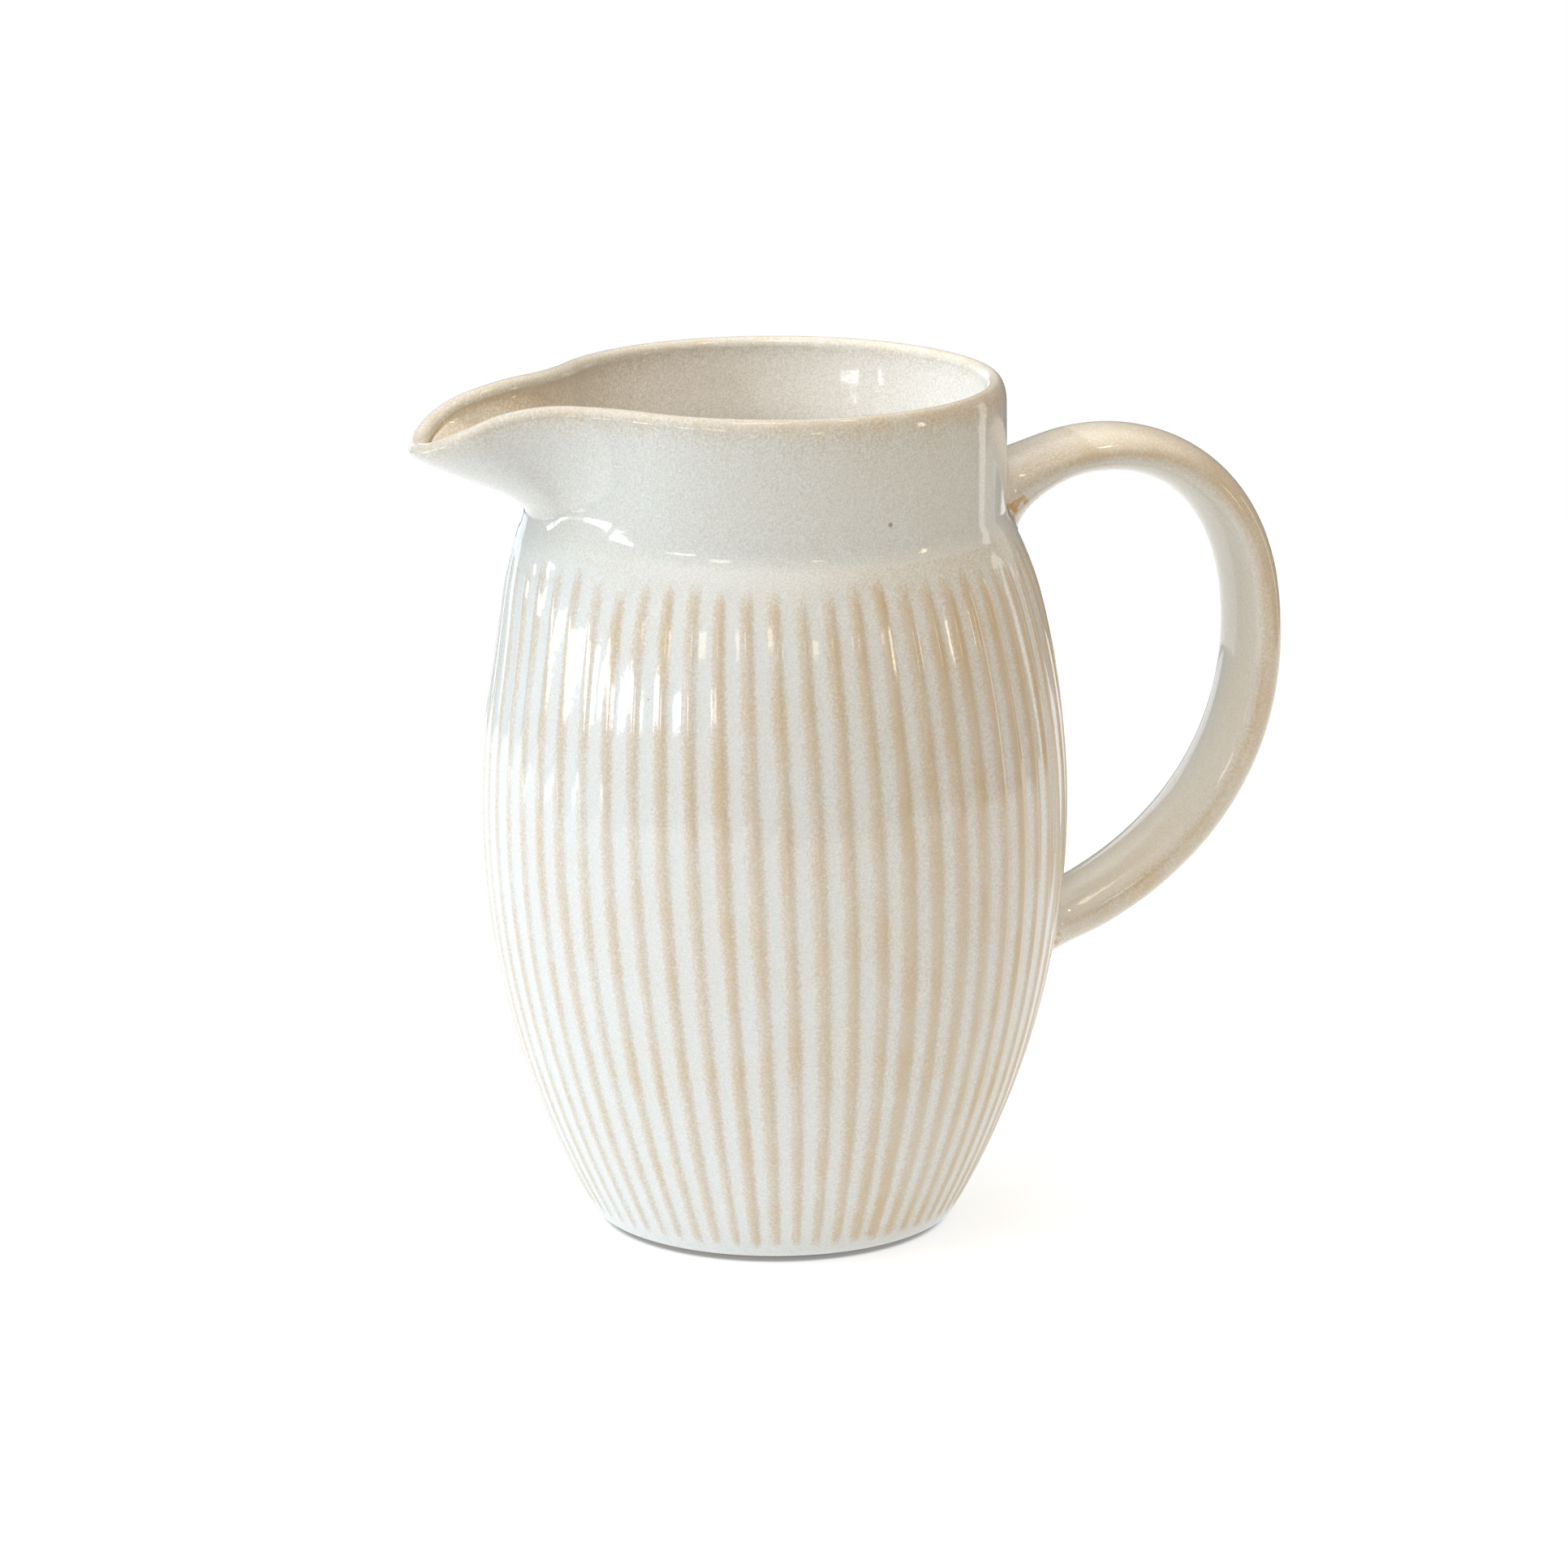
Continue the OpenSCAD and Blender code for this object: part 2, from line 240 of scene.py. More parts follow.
rng = random.Random(20)
flute_top = np.array([SHOULDER_Z - rng.uniform(0.0, 3.0) for _ in range(FLUTES)])
flute_fade = np.array([rng.uniform(6.0, 10.0) for _ in range(FLUTES)])
ridge_gain = np.array([rng.uniform(0.82, 1.0) for _ in range(FLUTES)])
ridge_seed = np.array([rng.uniform(0, 100) for _ in range(FLUTES)])
FADE_LOW = 3.2
# Shares of the pitch, from a ridge's middle: its flat top and foot, and its tan band's edges
RIDGE_TOP = 0.03
RIDGE_FOOT = 0.26
BAND_TOP = 0.10
BAND_FOOT = 0.42
# The hollow's depth at its side and how much shallower its middle is, as shares of the depth
HOLLOW_SHARE = 0.94
CROWN_SHARE = 0.06
# A ridge's sideways drift and change of width, and how fast both change with height
DRIFT = 0.035
BROADENING = 0.22
DRIFT_RATE = 0.022
# The glaze's run, which also paints warm shade on the side turned from the light: its mean, its
# swing round the jug and the turn of the thickest side
RUN_MEAN = 0.78
RUN_SWING = 0.22
RUN_TURN = math.radians(30)
# How much tan shows between the ridges, from glaze that ran thin and from painted shade on the
# side turned from the light, and from which run on
BARE_AND_SHADE_SHARE = 0.36
BARE_AND_SHADE_FROM = 0.76


def lean_at(z):
    return np.radians(FLUTE_LEAN * (BELLY_Z - z) + FLUTE_PHASE)


def glaze_run_and_shade(angle):
    """How much of the clay's tan shows: the glaze ran thicker over the spout's side, and the tan
    that grows towards the other side is partly painted shade.
    """
    return RUN_MEAN + RUN_SWING * np.cos(angle + RUN_TURN)


def ridge_wobble(z):
    """Sideways drift of each column of the grid, as a share of the pitch, and its width."""
    drift = np.zeros(COLUMNS)
    width = np.ones(COLUMNS)
    for m in range(FLUTES):
        at = Vector((ridge_seed[m], z * DRIFT_RATE, 0))
        value = DRIFT * noise.noise(at)
        broad = 1 + BROADENING * noise.noise(at + Vector((0, 0, 7)))
        for k in range(-PER_FLUTE // 2, PER_FLUTE // 2):
            drift[(m * PER_FLUTE + k) % COLUMNS] = value
            width[(m * PER_FLUTE + k) % COLUMNS] = broad
    return drift, width


column = np.arange(COLUMNS)
nearest_ridge = ((column + PER_FLUTE // 2) // PER_FLUTE) % FLUTES
ridge_offset = (column + PER_FLUTE // 2) % PER_FLUTE / PER_FLUTE - 0.5

# The handle's roots, on the wall: middle height, half the height and half the width
ROOT_HALF_H = 11.0
ROOT_HALF_W = 17.0
UPPER_ROOT_Z = 170.0
LOWER_ROOT_Z = 65.0


def root_distance(x, y, z):
    """1 on the edge of the nearer handle root, more outside it, and large at the spout side."""
    upper = np.hypot(y / ROOT_HALF_W, (z - UPPER_ROOT_Z) / ROOT_HALF_H)
    lower = np.hypot(y / ROOT_HALF_W, (z - LOWER_ROOT_Z) / ROOT_HALF_H)
    return np.where(x > 0, np.minimum(upper, lower), 9.0)


# ---- Grid of the vessel's skin ----


def circle_row(r, z, turn):
    """A ring of the body, swollen out where the spout's throat is."""
    angle = turn + 2 * math.pi * column / COLUMNS
    r = r + throat_swell(angle, z)
    return np.stack([r * np.cos(angle), r * np.sin(angle), np.full(COLUMNS, float(z))], -1)


def arc_rows(centre, r, start, end, count):
    for a in np.radians(np.linspace(start, end, count)):
        yield centre[0] + r * math.cos(a), centre[1] + r * math.sin(a)


def fluted_row(r, z):
    """A ring of the barrel's outside: its points, and how much tan shows on each, from thin glaze
    and from painted shade.
    """
    drift, width = ridge_wobble(z)
    u = np.abs(ridge_offset - drift) / width
    plain = circle_row(r, z, lean_at(z))
    near_root = ease((root_distance(*plain.T) - 1.0) / 0.5)
    fade = ease((z - FLUTE_LOW_Z) / FADE_LOW) * ease((flute_top - z) / flute_fade)[nearest_ridge]
    hollow = ease((u - RIDGE_TOP) / (RIDGE_FOOT - RIDGE_TOP))
    across = np.clip((u - RIDGE_FOOT) / (0.5 - RIDGE_FOOT), 0, 1)
    crown = CROWN_SHARE * np.cos(math.pi * across)
    depth = FLUTE_DEPTH * hollow * (HOLLOW_SHARE - crown) * fade * near_root
    top_fade = ease((flute_top + 1 - z) / (flute_fade + 1))[nearest_ridge]
    low_fade = ease((z - FLUTE_LOW_Z) / 3)
    band = 1 - ease((u - BAND_TOP) / (BAND_FOOT - BAND_TOP))
    angle = lean_at(z) + 2 * math.pi * column / COLUMNS
    thin = band * ridge_gain[nearest_ridge] * top_fade * mix(0.15, 1, low_fade)
    # Painted shade: more tan towards the side turned from the light, on top of the tan of thin
    # glaze
    run = glaze_run_and_shade(angle)
    bare_and_shade = BARE_AND_SHADE_SHARE * ease((run - BARE_AND_SHADE_FROM) / (1 - BARE_AND_SHADE_FROM))
    thin = thin * run + bare_and_shade * (1 - thin) * low_fade
    return circle_row(r - depth, z, lean_at(z)), thin * mix(0.4, 1, near_root)


side_centre = (BELLY_R - SIDE_ARC_R, BELLY_Z)
edge_arc_z = EDGE_Z + EDGE_ROUND
edge_arc_x = side_centre[0] + math.sqrt(
    (SIDE_ARC_R - EDGE_ROUND) ** 2 - (edge_arc_z - BELLY_Z) ** 2
)
edge_arc_top = math.degrees(math.atan2(edge_arc_z - BELLY_Z, edge_arc_x - side_centre[0]))
inner_arc_r = SIDE_ARC_R - WALL
corner_z = FLOOR_Z + CORNER_FILLET
corner_x = side_centre[0] + math.sqrt(
    (inner_arc_r - CORNER_FILLET) ** 2 - (corner_z - BELLY_Z) ** 2
)
corner_top = math.degrees(math.atan2(corner_z - BELLY_Z, corner_x - side_centre[0]))

rows = []
thin_rows = []


def add_row(points, thin):
    rows.append(points)
    thin_rows.append(np.broadcast_to(thin, COLUMNS).astype(float))


# Underside of the barrel's edge, its rounding, and the fluted side up to the shoulder. Rings
# lie closer where the flutes begin and end
BEGIN_TO = 12
END_FROM = 148
for r in np.linspace(FOOT_R, edge_arc_x - 0.6, 3):
    add_row(circle_row(r, EDGE_Z, lean_at(EDGE_Z)), 0.5)
for r, z in arc_rows((edge_arc_x, edge_arc_z), EDGE_ROUND, -90, edge_arc_top, 9):
    add_row(*fluted_row(r, z))
first_side_z = rows[-1][0][2]
side_heights = np.concatenate(
    [
        np.linspace(first_side_z, BEGIN_TO, 12)[1:],
        np.linspace(BEGIN_TO, END_FROM, 70)[1:],
        np.linspace(END_FROM, SHOULDER_Z, 27)[1:],
    ]
)
for z in side_heights:
    add_row(*fluted_row(body_r(z), z))
SHOULDER_ROW = len(rows) - 1

# Collar and spout outside, over the lip, and down the inside to the shoulder's height
upper_angle = lean_at(SHOULDER_Z) + 2 * math.pi * column / COLUMNS
# Painted shade: the collar's soft tan grows towards the side turned from the light
upper_run_and_shade = glaze_run_and_shade(upper_angle) ** 2
outer_t = np.concatenate(
    [np.linspace(0, 0.3, 22)[1:], np.linspace(0.3, 0.85, 18)[1:], np.linspace(0.85, 1, 12)[1:]]
)
# Tan below the lip: how strong and how deep its sharp edge and its soft run are; the soft run
# grows towards the side turned from the light as painted shade
EDGE_TAN = 0.30
EDGE_TAN_DEPTH = 3.0
SOFT_TAN = 0.34
SOFT_TAN_DEPTH = 13.0
# Angles from the spout's plane between which the roll sets in
ROLL_FROM = math.radians(45)
ROLL_TO = math.radians(80)
lip_out = upper_normal(upper_angle, 1.0)
lip_point = upper_point(upper_angle, 1.0)
off_spout = (np.abs(from_spout(upper_angle)) - ROLL_FROM) / (ROLL_TO - ROLL_FROM)
roll_h = mix(LIP_R, ROLL_H, ease(off_spout))
for t in outer_t:
    below = (1 - t) * (LIP_Z - SHOULDER_Z)
    tan = EDGE_TAN * math.exp(-below / EDGE_TAN_DEPTH)
    tan = tan + SOFT_TAN * math.exp(-below / SOFT_TAN_DEPTH) * upper_run_and_shade
    point = upper_point(upper_angle, t)
    roll = np.maximum(0, roll_h - (lip_point - point)[:, 2] - LIP_R) / roll_h
    add_row(point - LIP_R * (1 - np.sqrt(1 - roll**2))[:, None] * lip_out, tan)
lip_middle = lip_point - LIP_R * lip_out
LIP_STEPS = 24
# The wall thickens by BEVEL_IN over BEVEL_H below the lip
BEVEL_IN = 2.4
BEVEL_H = 19.0
# Tan on the lip and on top of it, on the inner edge, and on the spout's inside, which fades out
# between two angles from the spout's plane; on the inside it is the tan of thin glaze and painted
# shade on the wall turned from the light
LIP_TAN = 0.42
CREST_TAN = 0.22
INNER_EDGE_TAN = 0.35
INNER_EDGE_DEPTH = 2.5
INNER_TAN_AND_SHADE = 0.58
INNER_TAN_AND_SHADE_FULL = math.radians(30)
INNER_TAN_AND_SHADE_TO = math.radians(100)
roll_end = np.arcsin((roll_h - LIP_R) / roll_h)
for share in np.linspace(0, 1, LIP_STEPS + 1)[1:-1]:
    a = mix(roll_end, math.pi, share)
    rise = np.where(a < math.pi / 2, LIP_R - roll_h * (1 - np.sin(a)), LIP_R * np.sin(a))
    point = lip_middle + LIP_R * np.cos(a)[:, None] * lip_out
    point[:, 2] += rise
    add_row(point, LIP_TAN + CREST_TAN * np.sin(a))
LIP_ROW = len(rows)
spout_way = np.abs(from_spout(upper_angle))
near_spout = ease((INNER_TAN_AND_SHADE_TO - spout_way) / (INNER_TAN_AND_SHADE_TO - INNER_TAN_AND_SHADE_FULL))
for t in outer_t[::-1]:
    below = (1 - t) * (LIP_Z - SHOULDER_Z)
    thickness = WALL + BEVEL_IN * ease(below / BEVEL_H) * ease(t / 0.4)
    inside = upper_point(upper_angle, t) - thickness * upper_normal(upper_angle, t)
    edge_tan = INNER_EDGE_TAN * math.exp(-below / INNER_EDGE_DEPTH)
    # Painted shade on the inner wall on the spout's side, with the tan of its thin glaze
    add_row(inside, edge_tan + INNER_TAN_AND_SHADE * near_spout)
add_row(circle_row(SHOULDER_R - WALL, SHOULDER_Z, lean_at(SHOULDER_Z)), 0.0)
INNER_SHOULDER_ROW = len(rows) - 1

# Inside of the barrel, down to the rounded corner and the floor's edge
# Depth of the rings left by throwing, and how fast their noise runs with height
THROW_DEPTH = 0.16
THROW_RATE = 0.35
throwing = Vector((3.1, 0, 0))
last_inner_z = corner_z + CORNER_FILLET * math.sin(math.radians(corner_top))
for z in np.linspace(SHOULDER_Z, last_inner_z, 32)[1:]:
    wave = noise.noise(throwing + Vector((0, z * THROW_RATE, 0)))
    groove = THROW_DEPTH * wave * ease((SHOULDER_Z - z) / 8)
    add_row(circle_row(body_r(z) - WALL + groove, z, lean_at(z)), 0.0)
for r, z in list(arc_rows((corner_x, corner_z), CORNER_FILLET, corner_top, -90, 9))[1:]:
    add_row(circle_row(r, z, lean_at(z)), 0.0)
add_row(circle_row(FOOT_R, FLOOR_Z, lean_at(FLOOR_Z)), 0.0)

skin = np.array(rows)
skin_thin = np.array(thin_rows)
skin_pool = np.zeros_like(skin_thin)
# Marks the inside rows, where the glaze is painted whiter as painted light
skin_inside_painted_light = np.zeros_like(skin_thin)
skin_inside_painted_light[LIP_ROW:] = 1.0


def grid_normals(grid):
    """Smooth normals of a grid of closed rings, from the faces round each point."""
    after = np.roll(grid, -1, axis=1)
    a = grid[1:] - grid[:-1]
    b = after[:-1] - grid[:-1]
    face_a = np.cross(b, a)
    face_b = np.cross(after[1:] - grid[1:], after[1:] - after[:-1])
    face = face_a + face_b
    total = np.zeros_like(grid)
    total[:-1] += face
    total[1:] += face
    before = np.roll(face, 1, axis=1)
    total[:-1] += before
    total[1:] += before
    return unit(total)


skin_normals = grid_normals(skin)


# ---- Meshes ----


class Builder:
    """Collects points, faces, corner normals and values, and makes them into one object."""

    def __init__(self, name):
        self.name = name
        self.points = []
        self.faces = []
        self.normals = []
        self.values = {"thin": [], "pool": [], "inner": []}

    def point(self, co, thin, pool, inner):
        self.points.append(tuple(c * MM for c in co))
        self.values["thin"].append(thin)
        self.values["pool"].append(pool)
        self.values["inner"].append(inner)
        return len(self.points) - 1

    def face(self, corners, normals):
        self.faces.append(corners)
        self.normals.extend(tuple(n) for n in normals)

    def flat_face(self, corners):
        a, b, c = (Vector(self.points[i]) for i in (corners[0], corners[1], corners[-1]))
        n = (b - a).cross(c - a).normalized()
        self.face(corners, [n] * len(corners))

    def grid(self, points, normals, thin, pool, inner, closed=False):
        """Adds rings of points as quads. The faces look along the grid's own normals."""
        count_r, count_c = points.shape[:2]
        index = np.array(
            [
                [
                    self.point(points[i][j], thin[i][j], pool[i][j], inner[i][j])
                    for j in range(count_c)
                ]
                for i in range(count_r)
            ]
        )
        for i in range(count_r - 1):
            for j in range(count_c if closed else count_c - 1):
                k = (j + 1) % count_c
                self.face(
                    (index[i][j], index[i][k], index[i + 1][k], index[i + 1][j]),
                    (normals[i][j], normals[i][k], normals[i + 1][k], normals[i + 1][j]),
                )
        return index

    def make(self, material, slot, *nodes):
        mesh = bpy.data.meshes.new(self.name)
        mesh.from_pydata(self.points, [], [tuple(int(i) for i in f) for f in self.faces])
        for name, values in self.values.items():
            layer = mesh.attributes.new(name, "FLOAT", "POINT")
            layer.data.foreach_set("value", np.array(values, np.float32))
        mesh.polygons.foreach_set("use_smooth", [True] * len(mesh.polygons))
        mesh.materials.append(material)
        mesh.update()
        mesh.normals_split_custom_set(self.normals)
        piece = bpy.data.objects.new(self.name, mesh)
        bpy.context.scene.collection.objects.link(piece)
        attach(piece, "root")
        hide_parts(*nodes)
        return piece


# ---- Materials ----


def srgb(r, g, b):
    """A colour given as it looks on a screen, from 0 to 255, as the linear one that nodes take."""
    def linear(c):
        c /= 255
        return c / 12.92 if c <= 0.04045 else ((c + 0.055) / 1.055) ** 2.4
    return (linear(r), linear(g), linear(b), 1.0)


class Shader:
    """A short way to write node trees."""

    def __init__(self, name):
        self.material = bpy.data.materials.new(name)
        self.material.use_nodes = True
        self.nodes = self.material.node_tree.nodes
        self.links = self.material.node_tree.links
        self.nodes.clear()
        self.output = self.add("ShaderNodeOutputMaterial")
        self.surface = self.add("ShaderNodeBsdfPrincipled")
        self.links.new(self.surface.outputs["BSDF"], self.output.inputs["Surface"])
        self.place = self.add("ShaderNodeTexCoord").outputs["Object"]

    def add(self, kind, **settings):
        node = self.nodes.new(kind)
        for key, value in settings.items():
            setattr(node, key, value)
        return node

    def plug(self, node, name, value):
        socket = node.inputs[name]
        if isinstance(value, bpy.types.NodeSocket):
            self.links.new(value, socket)
        else:
            socket.default_value = value

    def math(self, operation, a, b=0.0, clamp=False):
        node = self.add("ShaderNodeMath", operation=operation, use_clamp=clamp)
        self.plug(node, 0, a)
        self.plug(node, 1, b)
        return node.outputs[0]

    def value(self, name):
        return self.add("ShaderNodeAttribute", attribute_name=name).outputs["Fac"]

    def height(self):
        node = self.add("ShaderNodeSeparateXYZ")
        self.plug(node, 0, self.place)
        return node.outputs["Z"]

    def noise(self, size_mm, detail=2.0, roughness=0.5, stretch=(1, 1, 1)):
        """Noise from 0 to 1 whose grains are about size_mm across."""
        mapping = self.add("ShaderNodeMapping")
        self.plug(mapping, "Vector", self.place)
        mapping.inputs["Scale"].default_value = [s / (size_mm * MM) for s in stretch]
        node = self.add("ShaderNodeTexNoise")
        self.plug(node, "Vector", mapping.outputs[0])
        self.plug(node, "Scale", 1.0)
        self.plug(node, "Detail", detail)
        self.plug(node, "Roughness", roughness)
        return node.outputs["Fac"]

    def ramp(self, value, low, high, out_low=0.0, out_high=1.0):
        node = self.add("ShaderNodeMapRange", interpolation_type="SMOOTHSTEP")
        for name, v in zip(("Value", "From Min", "From Max", "To Min", "To Max"),
                           (value, low, high, out_low, out_high)):
            self.plug(node, name, v)
        return node.outputs["Result"]

    def mix(self, factor, a, b, blend="MIX"):
        node = self.add("ShaderNodeMix", data_type="RGBA", blend_type=blend)
        self.plug(node, "Factor", factor)
        for socket, v in ((node.inputs[6], a), (node.inputs[7], b)):
            if isinstance(v, bpy.types.NodeSocket):
                self.links.new(v, socket)
            else:
                socket.default_value = v
        return node.outputs[2]

    def specks(self, spacing_mm, size_mm, share):
        """1 in small scattered spots: one spot in a share of the cells, about size_mm across."""
        mapping = self.add("ShaderNodeMapping")
        self.plug(mapping, "Vector", self.place)
        mapping.inputs["Scale"].default_value = [1 / (spacing_mm * MM)] * 3
        node = self.add("ShaderNodeTexVoronoi")
        self.plug(node, "Vector", mapping.outputs[0])
        self.plug(node, "Scale", 1.0)
        pick = self.add("ShaderNodeSeparateXYZ")
        self.plug(pick, 0, node.outputs["Color"])
        chosen = self.math("LESS_THAN", pick.outputs[0], share)
        reach = self.math("MULTIPLY", pick.outputs[1], size_mm / spacing_mm)
        inside = self.math("LESS_THAN", node.outputs["Distance"], reach)
        return self.math("MULTIPLY", chosen, inside)

    def bump(self, height, distance_mm, strength, under=None):
        node = self.add("ShaderNodeBump")
        self.plug(node, "Height", height)
        self.plug(node, "Distance", distance_mm * MM)
        self.plug(node, "Strength", strength)
        if under is not None:
            self.plug(node, "Normal", under)
        return node.outputs["Normal"]


PALE = srgb(225, 232, 235)
PALE_UPPER = srgb(226, 233, 234)
# Painted light: the inside's glaze colour, whiter than the outside's
INNER_PAINTED_LIGHT = srgb(247, 246, 242)
PALE_WARM = srgb(226, 217, 200)
TAN = srgb(208, 196, 175)
TAN_DEEP = srgb(204, 184, 151)
GRAIN = srgb(186, 176, 158)
AMBER = srgb(190, 150, 82)
IRON = srgb(120, 84, 52)
PINHOLE = srgb(104, 98, 92)


def glaze(name, warmth):
    """Glossy stoneware glaze: pale where it lies thick, tan where it breaks thin and where shade
    is painted on the side turned from the light, and painted whiter inside the jug as painted
    light.

    warmth is how far the whole of its pale turns warm, from 0 to 1.
    """
    s = Shader(name)
    fine = s.noise(0.32, 2.0, 0.7)
    grain = s.noise(0.6, 3.0, 0.65)
    cell = s.noise(2.4, 2.0, 0.6)
    cloud = s.noise(16.0, 3.0, 0.5)
    streak = s.noise(5.0, 2.0, 0.5, stretch=(1, 1, 0.18))
    # The tan mask: the tan of thin glaze, and painted shade
    thin = s.value("thin")
    uneven = s.math("ADD", s.math("MULTIPLY", s.math("SUBTRACT", streak, 0.5), 0.35),
                    s.math("MULTIPLY", s.math("SUBTRACT", grain, 0.5), 1.1))
    broken_edge = s.math("MULTIPLY", uneven, s.ramp(thin, 0.0, 0.3))
    thin = s.ramp(s.math("ADD", thin, broken_edge), 0.08, 1.0)
    upper = s.ramp(s.height(), 0.150, 0.176)
    patches = s.math("MULTIPLY", s.math("SUBTRACT", cloud, 0.5), 0.35)
    upper = s.math("ADD", upper, patches, clamp=True)
    pale = s.mix(upper, PALE, PALE_UPPER)
    drift = s.ramp(cloud, 0.3, 0.75, 0.0, 0.18)
    if warmth is not None:
        drift = s.math("ADD", drift, warmth, clamp=True)
    pale = s.mix(drift, pale, PALE_WARM)
    # Painted light: the inside is painted whiter than the outside, for the light that falls in
    # through the mouth
    pale = s.mix(s.value("inner"), pale, INNER_PAINTED_LIGHT)
    tan = s.mix(s.ramp(cloud, 0.35, 0.7), TAN, TAN_DEEP)
    colour = s.mix(thin, pale, tan)
    mottle = s.math("ADD", s.math("MULTIPLY", s.ramp(fine, 0.35, 0.65), 0.5),
                    s.math("MULTIPLY", s.ramp(grain, 0.3, 0.7), 0.5))
    strength = s.math("MULTIPLY", mottle, s.ramp(upper, 0.0, 1.0, 0.42, 0.60))
    colour = s.mix(strength, colour, GRAIN)
    broken = s.math("MULTIPLY", s.math("SUBTRACT", s.ramp(cell, 0.35, 0.65), 1.0), 0.8)
    pool = s.math("ADD", s.value("pool"), broken)
    colour = s.mix(s.ramp(pool, 0.15, 0.9, 0.0, 0.9), colour, AMBER)
    iron = s.specks(10.0, 0.8, 0.05)
    hole = s.specks(9.0, 0.5, 0.03)
    colour = s.mix(s.math("MULTIPLY", iron, 0.6), colour, IRON)
    colour = s.mix(s.math("MULTIPLY", hole, 0.45), colour, PINHOLE)
    s.plug(s.surface, "Base Color", colour)
    rough = s.ramp(grain, 0.3, 0.75, 0.04, 0.08)
    rough = s.math("ADD", rough, s.math("MULTIPLY", thin, 0.02))
    s.plug(s.surface, "Roughness", rough)
    s.surface.inputs["IOR"].default_value = 1.52
    peel = s.bump(s.noise(2.6, 2.0, 0.5), 0.08, 0.3)
    pits = s.bump(s.math("SUBTRACT", 1.0, hole), 0.12, 0.8, peel)
    s.plug(s.surface, "Normal", s.bump(fine, 0.006, 0.4, pits))
    return s.material


def clay(name):
    """Bare buff stoneware: matt, sandy, a little darker where it has been wiped."""
    s = Shader(name)
    sand = s.noise(0.35, 4.0, 0.7)
    cloud = s.noise(9.0, 3.0, 0.6)
    colour = s.mix(s.ramp(cloud, 0.3, 0.7), srgb(203, 180, 148), srgb(182, 153, 117))
    colour = s.mix(s.ramp(sand, 0.55, 0.75, 0.0, 0.5), colour, srgb(150, 122, 92))
    s.plug(s.surface, "Base Color", colour)
    s.plug(s.surface, "Roughness", s.ramp(sand, 0.2, 0.8, 0.72, 0.92))
    s.plug(s.surface, "Normal", s.bump(sand, 0.08, 0.7))
    return s.material


fluted_glaze = glaze("fluted_glaze", None)
plain_glaze = glaze("plain_glaze", None)
inner_glaze = glaze("inner_glaze", 0.35)
handle_glaze = glaze("handle_glaze", 0.45)
bare_clay = clay("bare_clay")

# ---- Vessel pieces ----

spout_columns = [
    j for j in range(COLUMNS)
    if abs(from_spout(upper_angle[j])) <= SPOUT_ANGLE
]
first_spout = min(spout_columns)
last_spout = max(spout_columns)


def strip(row_from, row_to, columns):
    pick = np.ix_(range(row_from, row_to + 1), columns)
    return skin[pick], skin_normals[pick], skin_thin[pick], skin_pool[pick], skin_inside_painted_light[pick]


# Barrel: outside, the joint with the collar, inside, and the joint with the foot and floor
barrel = Builder("glazed_barrel")
everything = list(range(COLUMNS))
outer = barrel.grid(*strip(0, SHOULDER_ROW, everything), closed=True)
inner = barrel.grid(*strip(INNER_SHOULDER_ROW, len(rows) - 1, everything), closed=True)
for j in range(COLUMNS):
    k = (j + 1) % COLUMNS
    barrel.flat_face((outer[-1][j], outer[-1][k], inner[0][k], inner[0][j]))
    barrel.flat_face((inner[-1][j], inner[-1][k], outer[0][k], outer[0][j]))
barrel.make(fluted_glaze, "fluted_glaze", "fluted_barrel")


def upper_piece(name, columns, material, slot, node):
    """The part of the skin above the shoulder that these columns cover, closed at its joints."""
    piece = Builder(name)
    index = piece.grid(*strip(SHOULDER_ROW, INNER_SHOULDER_ROW, columns))
    last = len(index) - 1
    for j in range(len(columns) - 1):
        piece.flat_face((index[0][j], index[last][j], index[last][j + 1], index[0][j + 1]))
    half = last // 2
    for i in range(half):
        low, high = i, last - i
        for j, flip in ((0, False), (len(columns) - 1, True)):
            ring = [index[low][j], index[low + 1][j], index[high - 1][j], index[high][j]]
            if low + 1 >= high - 1:
                ring = [index[low][j], index[low + 1][j], index[high][j]]
            piece.flat_face(tuple(reversed(ring)) if flip else tuple(ring))
    return piece.make(material, slot, node)


collar_columns = list(range(last_spout, COLUMNS)) + list(range(0, first_spout + 1))
upper_piece("glazed_collar", collar_columns, plain_glaze, "plain_glaze", "collar")
upper_piece(
    "glazed_spout", list(range(first_spout, last_spout + 1)), plain_glaze, "plain_glaze", "spout"
)


def turned(name, profile, columns, material, slot, node):
    """A closed solid of revolution. Its outline starts and ends on the axis, or closes."""
    piece = Builder(name)
    angle = 2 * math.pi * np.arange(columns) / columns
    grid = np.array(
        [
            np.stack([r * np.cos(angle), r * np.sin(angle), np.full(columns, z)], -1)
            for r, z in profile
        ]
    )
    normals = grid_normals(grid)
    zero = np.zeros(grid.shape[:2])
    # Every point counts as inside, so the glaze paints it whiter as painted light
    index = piece.grid(grid, normals, zero, zero, zero + 1, closed=True)
    for ring in (0, len(profile) - 1):
        if profile[ring][0] < 1:
            ends = [index[ring][j] for j in range(columns)]
            piece.flat_face(tuple(reversed(ends)) if ring == 0 else tuple(ends))
    return piece.make(material, slot, node)


